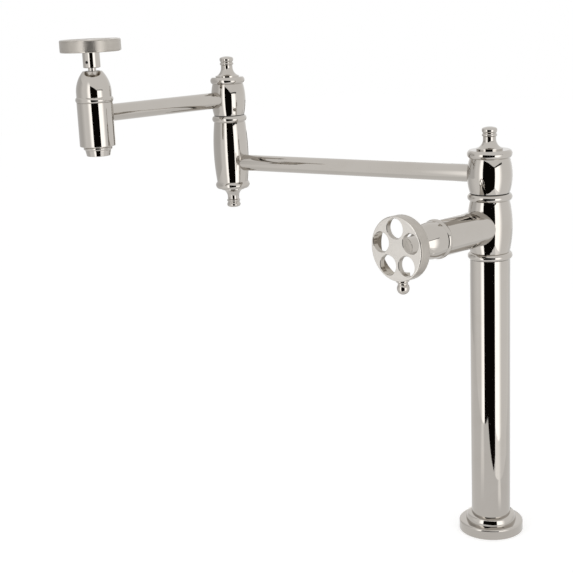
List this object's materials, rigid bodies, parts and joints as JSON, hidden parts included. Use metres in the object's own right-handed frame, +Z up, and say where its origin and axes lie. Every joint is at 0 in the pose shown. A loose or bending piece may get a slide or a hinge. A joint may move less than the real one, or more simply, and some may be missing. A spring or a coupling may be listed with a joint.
{
  "type": "deck mount pot filler",
  "caption": "Deck mount pot filler: flanged column with a wheel valve on a side branch, two swivelling arms joined by a turned elbow, and a spout with its own wheel.",
  "frame": {"origin": "centre of the base flange's underside, on the deck and on the column's axis", "axes": "+Z up along the column; -Y along the valve branch, towards its wheel; +X completes a right-handed frame"},
  "size_m": [0.3532, 0.2971, 0.4956],
  "materials": {
    "polished_nickel": "polished nickel plate on brass, mirror bright with a warm tint",
    "satin_nickel": "satin nickel plate: fine matt faces and a rim brushed along its length",
    "bare_brass": "machined brass, unplated",
    "black_rubber": "black moulded rubber",
    "white_ceramic": "polished white ceramic",
    "red_fibre": "pressed fibre sheet",
    "dark_nylon": "dark low-friction plastic",
    "grey_acetal": "light grey moulded plastic",
    "steel_screw": "plain stainless steel"
  },
  "bodies": {
    "stand": {"deck_gasket": "black_rubber", "base_flange": "polished_nickel", "base_collar": "polished_nickel", "inlet_bush": "bare_brass", "column_tube": "polished_nickel", "riser_tube": "bare_brass", "riser_seals": "black_rubber", "valve_body": "polished_nickel", "branch_tube": "polished_nickel", "feed_pipe": "bare_brass", "branch_seat_ring": "black_rubber", "branch_cartridge": "bare_brass", "branch_fixed_disc": "white_ceramic", "branch_cartridge_seal": "red_fibre", "branch_bonnet": "polished_nickel", "swivel_post": "bare_brass", "swivel_seals": "black_rubber", "swivel_washer": "dark_nylon", "swivel_nut": "bare_brass"},
    "valve_handle": {"branch_turning_disc": "white_ceramic", "branch_stem": "polished_nickel", "branch_hub": "polished_nickel", "branch_wheel": "satin_nickel", "branch_ball": "polished_nickel", "branch_set_screw": "steel_screw"},
    "swivel_arm": {"swivel_barrel": "polished_nickel", "swivel_cap": "polished_nickel", "swivel_finial": "polished_nickel", "lower_arm": "polished_nickel", "elbow_barrel": "polished_nickel", "elbow_foot": "polished_nickel", "elbow_drop_finial": "polished_nickel", "elbow_post": "bare_brass", "elbow_seals": "black_rubber", "elbow_washer": "dark_nylon", "elbow_nut": "bare_brass"},
    "spout_arm": {"elbow_swivel": "polished_nickel", "elbow_cap": "polished_nickel", "elbow_finial": "polished_nickel", "upper_arm": "polished_nickel", "spout_body": "polished_nickel", "spout_seat_ring": "black_rubber", "spout_cartridge": "bare_brass", "spout_fixed_disc": "white_ceramic", "spout_cartridge_seal": "red_fibre", "spout_bonnet": "polished_nickel", "outlet_nozzle": "polished_nickel", "aerator": "grey_acetal", "aerator_washer": "black_rubber"},
    "spout_handle": {"spout_turning_disc": "white_ceramic", "spout_stem": "polished_nickel", "spout_hub": "polished_nickel", "spout_wheel": "satin_nickel", "spout_ball": "polished_nickel", "spout_set_screw": "steel_screw"}
  },
  "joints": [
    {"name": "valve_turn", "type": "hinge", "parent": "stand", "child": "valve_handle", "pos_m": [0, -0.1, 0.30785], "axis": [0, -1, 0], "range_deg": [0, 90]},
    {"name": "swivel_turn", "type": "hinge", "parent": "stand", "child": "swivel_arm", "pos_m": [0, 0, 0.356], "axis": [0, 0, 1], "continuous": true},
    {"name": "elbow_turn", "type": "hinge", "parent": "swivel_arm", "child": "spout_arm", "pos_m": [-0.29254, -0.06646, 0.424], "axis": [0, 0, 1], "continuous": true},
    {"name": "spout_valve_turn", "type": "hinge", "parent": "spout_arm", "child": "spout_handle", "pos_m": [-0.29254, -0.23646, 0.47], "axis": [0, 0, 1], "range_deg": [0, 90]}
  ]
}
